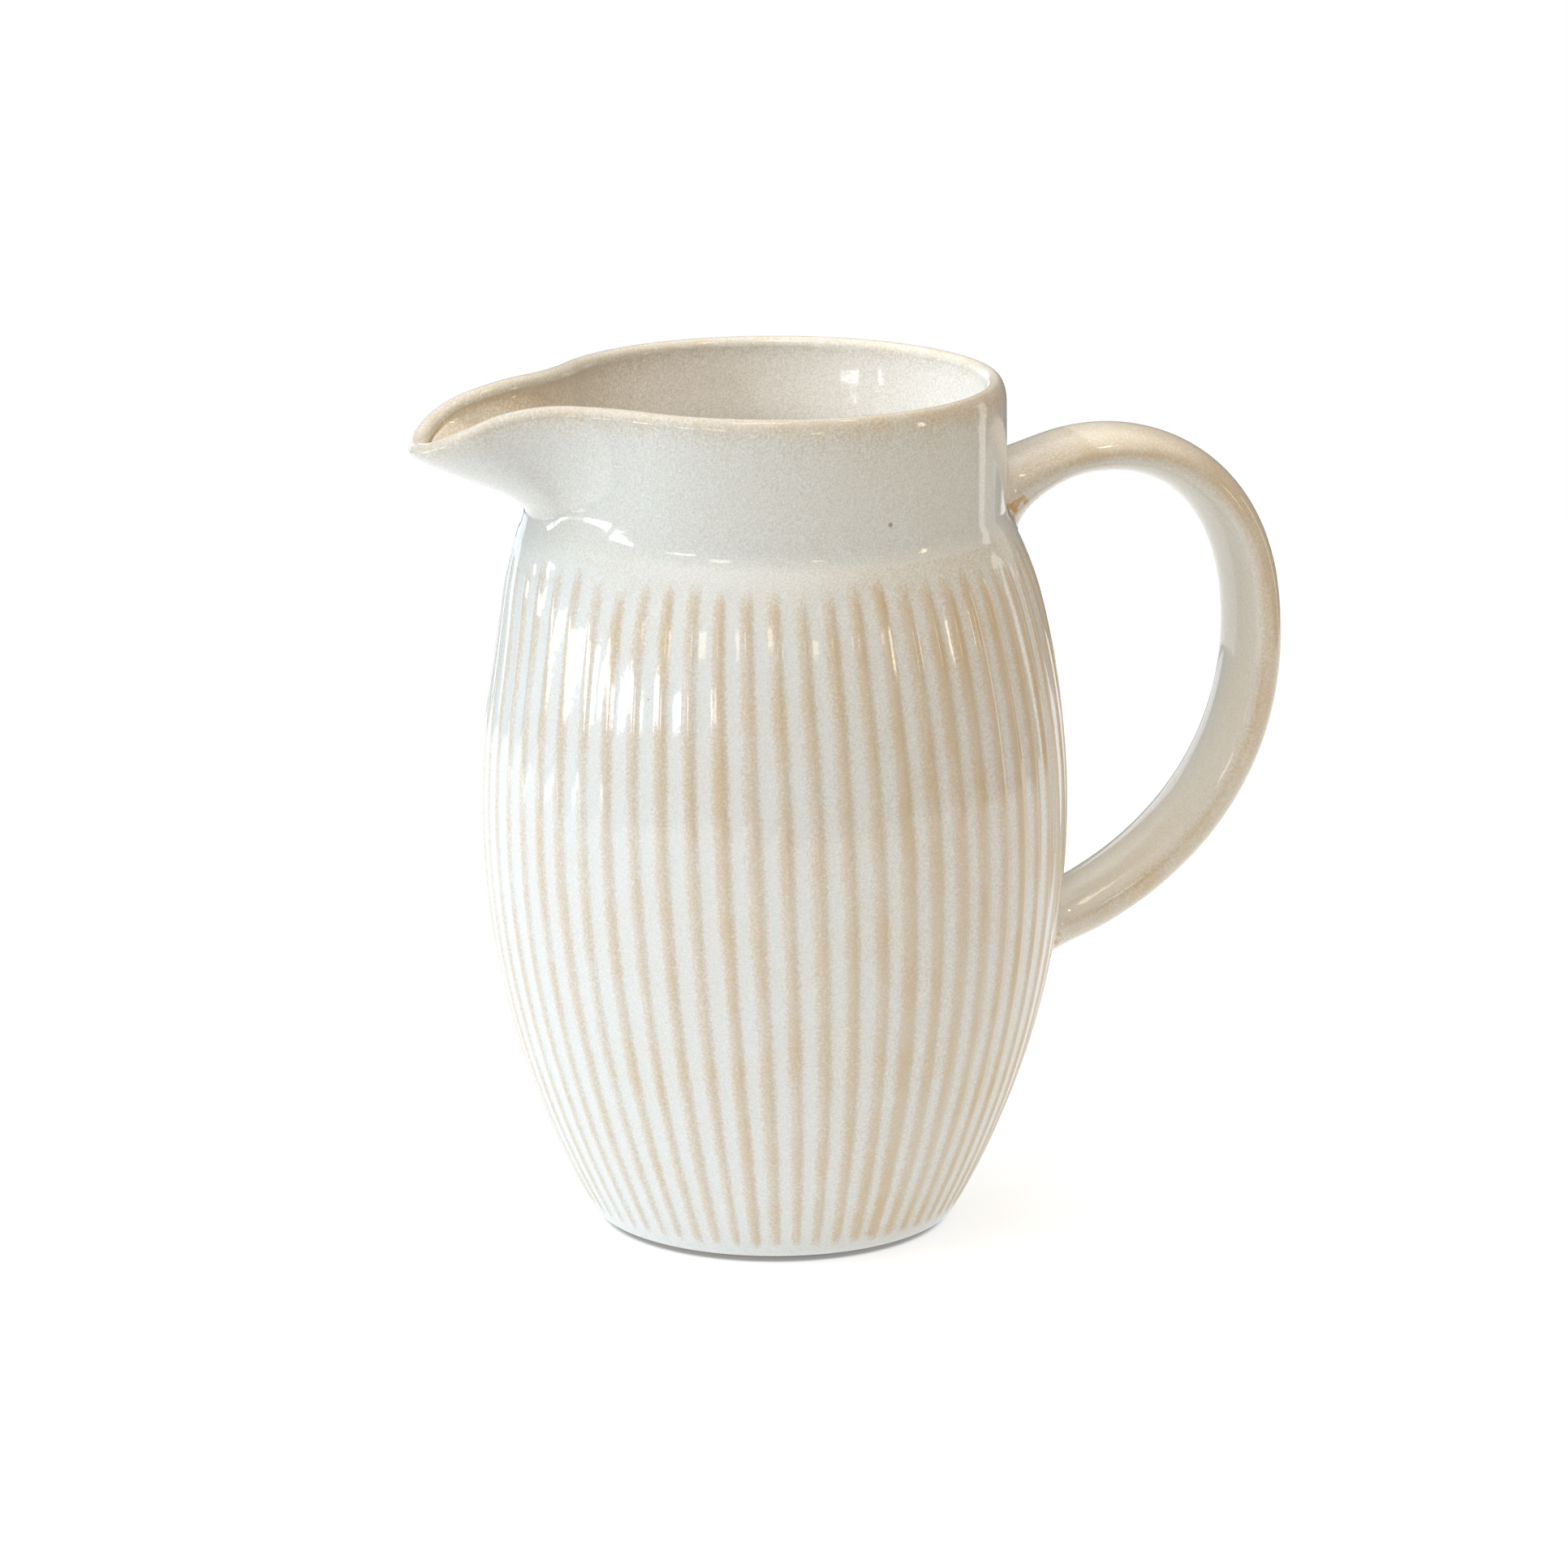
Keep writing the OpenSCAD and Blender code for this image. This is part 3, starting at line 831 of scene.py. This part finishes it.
# Floor: its glazed upper face carries the potter's faint spiral, its rim meets the barrel
floor_columns = 180
floor_profile = [(0.4, FOOT_H)]
floor_profile += [(r, FOOT_H) for r in np.linspace(4, FOOT_R, 12)]
floor_profile += [(FOOT_R, FLOOR_Z)]
SWIRL_DEPTH = 0.14
SWIRL_RATE = 1.15  # radians for each millimetre outward
for r in np.linspace(FOOT_R - 0.2, 0.4, 90):
    fade = ease((FOOT_R - r) / 6) * ease(r / 3)
    swirl = SWIRL_DEPTH * (math.cos(r * SWIRL_RATE) - 1) * fade
    floor_profile.append((r, FLOOR_Z + swirl))
turned("glazed_floor", floor_profile, floor_columns, inner_glaze, "inner_glaze", "base_floor")

# Foot ring: a wiped ring with rounded resting edges
foot_profile = [(FOOT_R, FOOT_H)]
foot_profile += [(FOOT_R, z) for z in (3.0, 2.0, FOOT_ROUND)]
foot_profile += list(arc_rows((FOOT_R - FOOT_ROUND, FOOT_ROUND), FOOT_ROUND, 0, -90, 8))[1:]
resting_r = np.linspace(FOOT_R - FOOT_ROUND, FOOT_R - FOOT_W + FOOT_ROUND, 5)
foot_profile += [(r, 0.0) for r in resting_r[1:]]
foot_profile += list(
    arc_rows((FOOT_R - FOOT_W + FOOT_ROUND, FOOT_ROUND), FOOT_ROUND, -90, -180, 8)
)[1:]
foot_profile += [(FOOT_R - FOOT_W, z) for z in (2.0, 3.0, FOOT_H)]
foot_profile += [(FOOT_R, FOOT_H)]
turned("wiped_foot_ring", foot_profile[::-1], 240, bare_clay, "bare_clay", "foot_ring")

# ---- Handle ----

# Middle line of the strap, as the control points of two curves, each with its x and its z
upper_curve = np.array([[56, 171], [78, 187], [118.9, 180], [118.9, 132]], float)
lower_curve = np.array([[118.9, 132], [118.9, 96], [94, 73], [64, 64]], float)
# Where the strap leaves its roots: 0 to 1 is along the upper curve, 1 to 2 along the lower
STRAP_START = 0.22
STRAP_END = 1.84
HANDLE_W = 23.5
TOP_T = 10.5
LOW_T = 13.4
THICKENING_TO = 1.6
STRAP_SIDES = 64
# Tan on the strap: everywhere, on its outer face and along its edges
STRAP_TAN = 0.08
OUTER_TAN = 0.62
STRAP_EDGE_TAN = 0.30
ring_angle = 2 * math.pi * (np.arange(STRAP_SIDES) + 0.5) / STRAP_SIDES


def bezier(p, t):
    return (
        (1 - t) ** 3 * p[0] + 3 * (1 - t) ** 2 * t * p[1] + 3 * (1 - t) * t**2 * p[2] + t**3 * p[3]
    )


def slope(p, t):
    return (1 - t) ** 2 * (p[1] - p[0]) + 2 * (1 - t) * t * (p[2] - p[1]) + t**2 * (p[3] - p[2])


def strap_middle(s):
    return bezier(upper_curve, s) if s < 1 else bezier(lower_curve, s - 1)


def strap_way(s):
    d = slope(upper_curve, s) if s < 1 else slope(lower_curve, s - 1)
    return d / np.linalg.norm(d)


def strap_ring(s):
    """A ring of the strap: its points, and how thin the glaze lies on each."""
    d = strap_way(s)
    across = np.array([-d[1], d[0]])
    half_t = mix(TOP_T, LOW_T, ease(s / THICKENING_TO)) / 2
    middle = strap_middle(s)
    side = np.cos(ring_angle)
    face = np.sin(ring_angle)
    lift = half_t * face
    x = middle[0] + lift * across[0]
    z = middle[1] + lift * across[1]
    outer = ease((face + 0.45) / 0.7)
    edge = np.exp(-(((face + 0.12) / 0.2) ** 2)) * side**2
    tan = STRAP_TAN + OUTER_TAN * outer + STRAP_EDGE_TAN * edge
    return np.stack([x, HANDLE_W / 2 * side, z], -1), tan


# How far a root keeps the strap's way, flattens out onto the wall and sinks into it
ROOT_PULL = 0.42
ROOT_SPREAD = 5.0
ROOT_SINK = 0.05


def root_rings(s, root_z, facing, count):
    """Rings from the strap's end onto the wall, which they reach lying flat against it."""
    ring, thin = strap_ring(s)
    way = strap_way(s) * (-1 if s < 1 else 1)
    way = np.array([way[0], 0, way[1]])
    y = ROOT_HALF_W * np.cos(ring_angle)
    z = root_z + facing * ROOT_HALF_H * np.sin(ring_angle)
    r = wall_r(z)
    wall = np.stack([np.sqrt(r**2 - y**2), y, z], -1)
    probe = 0.2
    tilt = (wall_r(z + probe) - wall_r(z - probe)) / (2 * probe)
    out = unit(np.stack([wall[:, 0] / r, y / r, -tilt], -1))
    away = wall - np.array([wall_r(np.array(root_z)), 0, root_z])
    away = unit(away - np.sum(away * out, -1, keepdims=True) * out)
    reach = np.linalg.norm(ring.mean(0) - wall.mean(0))
    b0, b3 = ring, wall - ROOT_SINK * out
    b1 = ring + way * reach * ROOT_PULL
    b2 = wall - away * ROOT_SPREAD
    rings, thins, pools = [], [], []
    for t in np.linspace(0, 1, count + 1)[1:]:
        point = (1 - t) ** 3 * b0 + 3 * (1 - t) ** 2 * t * b1 + 3 * (1 - t) * t**2 * b2 + t**3 * b3
        rings.append(point)
        thins.append(thin * (1 - t))
        crevice = np.exp(-(((facing * np.sin(ring_angle) + 0.25) / 0.4) ** 2))
        pools.append(crevice * ease((t - 0.4) / 0.3) * ease((1.1 - t) / 0.2))
    return rings, thins, pools, out


ROOT_STEPS = 22
STRAP_STEPS = 150
top_rings, top_thin, top_pool, top_out = root_rings(STRAP_START, UPPER_ROOT_Z, 1, ROOT_STEPS)
low_rings, low_thin, low_pool, low_out = root_rings(STRAP_END, LOWER_ROOT_Z, -1, ROOT_STEPS)
strap = [strap_ring(s) for s in np.linspace(STRAP_START, STRAP_END, STRAP_STEPS + 1)]
none = [np.zeros(STRAP_SIDES)] * len(strap)
handle_skin = np.array(top_rings[::-1] + [p for p, _ in strap] + low_rings)
handle_thin = np.array(top_thin[::-1] + [t for _, t in strap] + low_thin)
handle_pool = np.array(top_pool[::-1] + none + low_pool)
handle_normals = -grid_normals(handle_skin)
handle_normals[0] = top_out
handle_normals[-1] = low_out


def handle_piece(name, first, last, node):
    """Rings first to last of the handle's skin, closed at both ends."""
    piece = Builder(name)
    rows_used = slice(first, last + 1)
    count = last - first + 1
    index = piece.grid(
        handle_skin[rows_used][::-1],
        handle_normals[rows_used][::-1],
        handle_thin[rows_used][::-1],
        handle_pool[rows_used][::-1],
        np.zeros((count, STRAP_SIDES)),
        closed=True,
    )
    piece.flat_face(tuple(reversed([index[0][j] for j in range(STRAP_SIDES)])))
    piece.flat_face(tuple(index[count - 1][j] for j in range(STRAP_SIDES)))
    return piece.make(handle_glaze, "handle_glaze", node)


last_ring = len(handle_skin) - 1
handle_piece("upper_root", 0, ROOT_STEPS, "upper_handle_joint")
handle_piece("strap_handle", ROOT_STEPS, last_ring - ROOT_STEPS, "handle")
handle_piece("lower_root", last_ring - ROOT_STEPS, last_ring, "lower_handle_joint")

# ---- Stage, light and camera ----

PAPER_GREY = 0.46
# The paper's own glow under the jug's edge, where its drop paints a contact shadow, and in the
# open, and where it starts to rise
GLOW_IN_PAINTED_SHADOW = 0.18
GLOW_OPEN = 0.68
GLOW_FROM = (FOOT_R + 1.5) * MM
GLOW_RUN = 2 * MM
bpy.ops.mesh.primitive_plane_add(size=1.3, location=(0, 0, 0))
floor = bpy.context.object
floor.name = "floor"
paper = Shader("paper")
paper.plug(paper.surface, "Base Color", (PAPER_GREY, PAPER_GREY, PAPER_GREY, 1))
paper.plug(paper.surface, "Roughness", 0.9)
paper.surface.inputs["Specular IOR Level"].default_value = 0.0
paper.surface.inputs["Emission Color"].default_value = (0.97, 0.99, 1, 1)
reach = paper.add("ShaderNodeVectorMath", operation="LENGTH")
paper.plug(reach, 0, paper.place)
# Painted contact shadow: the glow drops close round the jug's edge
glow = paper.ramp(
    reach.outputs["Value"], GLOW_FROM, GLOW_FROM + GLOW_RUN, GLOW_IN_PAINTED_SHADOW, GLOW_OPEN
)
paper.plug(paper.surface, "Emission Strength", glow)
floor.data.materials.append(paper.material)

VIEW_TURN = math.radians(18)
VIEW_TILT = math.radians(14.45)
VIEW_DISTANCE = 1.465
VIEW_HEIGHT = 0.481


def toward_view(side, forward, up):
    """A place given as the camera has it: metres to its right, towards it and up."""
    right = Vector((math.cos(VIEW_TURN), -math.sin(VIEW_TURN), 0))
    near = Vector((-math.sin(VIEW_TURN), -math.cos(VIEW_TURN), 0))
    return right * side + near * forward + Vector((0, 0, up))


LIGHT_DISTANCE = 2.4
LIGHT_AIM = Vector((0, 0, 0.12))
DAYLIGHT = (0.89, 0.95, 1.0)
LAMPLIGHT = (1.0, 0.86, 0.62)
CREAM = (1.0, 0.95, 0.86)
# Each light's turn in degrees left of the camera and rise in degrees, its width and height in
# metres, how bright its face is, where 1 is the background's white, and its colour
AREA_LIGHTS = (
    ("window_pane_1", 97, 2.4, 0.56, 0.18, 8, DAYLIGHT),
    ("window_pane_2", 82, 3.0, 0.52, 0.18, 9, DAYLIGHT),
    ("window_pane_3", 67, 4.4, 0.50, 0.24, 11, DAYLIGHT),
    ("far_window", 43, 6.2, 0.42, 0.20, 8, DAYLIGHT),
    ("right_strip", -124, -2.0, 0.30, 1.4, 1.5, CREAM),
    ("ceiling_lamp_1", 10, 74.0, 0.70, 0.60, 5, LAMPLIGHT),
    ("ceiling_lamp_2", -68, 66.0, 0.28, 0.22, 16, LAMPLIGHT),
    ("low_window", 98, -10.0, 0.9, 0.16, 4, DAYLIGHT),
    ("back_panel", 156, 4.0, 1.0, 1.2, 1.1, DAYLIGHT),
    ("high_daylight", 72, 44.0, 2.6, 1.4, 2.3, DAYLIGHT),
    ("back_daylight", 140, 18.0, 1.2, 1.2, 1.0, DAYLIGHT),
    ("lamp_1", 26, 19.0, 0.40, 0.34, 5, LAMPLIGHT),
    ("lamp_2", -21, 18.0, 0.24, 0.20, 5, LAMPLIGHT),
    ("lamp_3", -77, 12.0, 0.14, 0.36, 10, LAMPLIGHT),
)
# Broad lights that would show as plain white shapes in the glaze, and one that is only a gloss
NOT_IN_GLOSS = ("high_daylight", "back_daylight", "mouth_beam")
ONLY_IN_GLOSS = ("back_panel",)


def hang(name, data, aim, way):
    """Puts a light LIGHT_DISTANCE from the point it looks at."""
    lamp = bpy.data.objects.new(name, data)
    lamp.location = aim + way * LIGHT_DISTANCE
    lamp.rotation_euler = (-way).to_track_quat("-Z", "Y").to_euler()
    lamp.visible_glossy = name not in NOT_IN_GLOSS
    lamp.visible_diffuse = name not in ONLY_IN_GLOSS
    bpy.context.scene.collection.objects.link(lamp)


for name, turn, rise, width, height, glow, colour in AREA_LIGHTS:
    a = math.radians(turn)
    e = math.radians(rise)
    data = bpy.data.lights.new(name, "AREA")
    data.shape = "RECTANGLE"
    data.size = width
    data.size_y = height
    data.energy = glow * math.pi * width * height
    data.color = colour
    way = toward_view(-math.sin(a) * math.cos(e), math.cos(a) * math.cos(e), math.sin(e))
    hang(name, data, LIGHT_AIM, way)

# A narrow beam over the left rim onto the right of the inner wall
data = bpy.data.lights.new("mouth_beam", "SPOT")
data.spot_size = math.radians(1.8)
data.spot_blend = 1.0
data.shadow_soft_size = 0.05
data.energy = 330
data.color = DAYLIGHT
hang("mouth_beam", data, toward_view(0.037, -0.031, 0.186), toward_view(-0.776, 0.137, 0.616))

# The room that the glaze mirrors: warm to the right, cool to the left, brighter overhead. The
# camera itself sees plain white
ROOM_RIGHT = (0.44, 0.30, 0.155, 1)
ROOM_LEFT = (0.60, 0.68, 0.78, 1)
ROOM_STRENGTH = 0.42
OVERHEAD_STRENGTH = 2.8
OVERHEAD_FROM = 0.45
OVERHEAD_TO = 0.85
world = bpy.data.worlds.new("studio")
bpy.context.scene.world = world
world.use_nodes = True
tree = world.node_tree
tree.nodes.clear()
out = tree.nodes.new("ShaderNodeOutputWorld")
seen = tree.nodes.new("ShaderNodeBackground")
seen.inputs["Color"].default_value = (1, 1, 1, 1)
room = tree.nodes.new("ShaderNodeBackground")
path = tree.nodes.new("ShaderNodeLightPath")
choose = tree.nodes.new("ShaderNodeMixShader")
tree.links.new(path.outputs["Is Camera Ray"], choose.inputs[0])
tree.links.new(room.outputs[0], choose.inputs[1])
tree.links.new(seen.outputs[0], choose.inputs[2])
tree.links.new(choose.outputs[0], out.inputs["Surface"])
way_in = tree.nodes.new("ShaderNodeTexCoord")
dot = tree.nodes.new("ShaderNodeVectorMath")
dot.operation = "DOT_PRODUCT"
tree.links.new(way_in.outputs["Generated"], dot.inputs[0])
dot.inputs[1].default_value = toward_view(-0.85, -0.5, 0.1).normalized()
ramp = tree.nodes.new("ShaderNodeMapRange")
ramp.inputs["From Min"].default_value = -1
ramp.inputs["From Max"].default_value = 1
tree.links.new(dot.outputs["Value"], ramp.inputs["Value"])
shade = tree.nodes.new("ShaderNodeMix")
shade.data_type = "RGBA"
tree.links.new(ramp.outputs["Result"], shade.inputs["Factor"])
shade.inputs[6].default_value = ROOM_RIGHT
shade.inputs[7].default_value = ROOM_LEFT
height_of = tree.nodes.new("ShaderNodeSeparateXYZ")
tree.links.new(way_in.outputs["Generated"], height_of.inputs[0])
overhead = tree.nodes.new("ShaderNodeMapRange")
overhead.interpolation_type = "SMOOTHSTEP"
overhead.inputs["From Min"].default_value = OVERHEAD_FROM
overhead.inputs["From Max"].default_value = OVERHEAD_TO
overhead.inputs["To Min"].default_value = ROOM_STRENGTH
overhead.inputs["To Max"].default_value = OVERHEAD_STRENGTH
tree.links.new(height_of.outputs["Z"], overhead.inputs["Value"])
tree.links.new(shade.outputs[2], room.inputs["Color"])
tree.links.new(overhead.outputs["Result"], room.inputs["Strength"])

camera_data = bpy.data.cameras.new("camera")
camera_data.sensor_width = 36
camera_data.lens = 149.07
camera_data.shift_x = 0.0062
camera = bpy.data.objects.new("camera", camera_data)
camera.location = toward_view(0, VIEW_DISTANCE, VIEW_HEIGHT)
camera.rotation_euler = Euler((math.pi / 2 - VIEW_TILT, 0, -VIEW_TURN))
bpy.context.scene.collection.objects.link(camera)
bpy.context.scene.camera = camera

bpy.context.scene.view_settings.view_transform = "Standard"
bpy.context.scene.view_settings.look = "None"
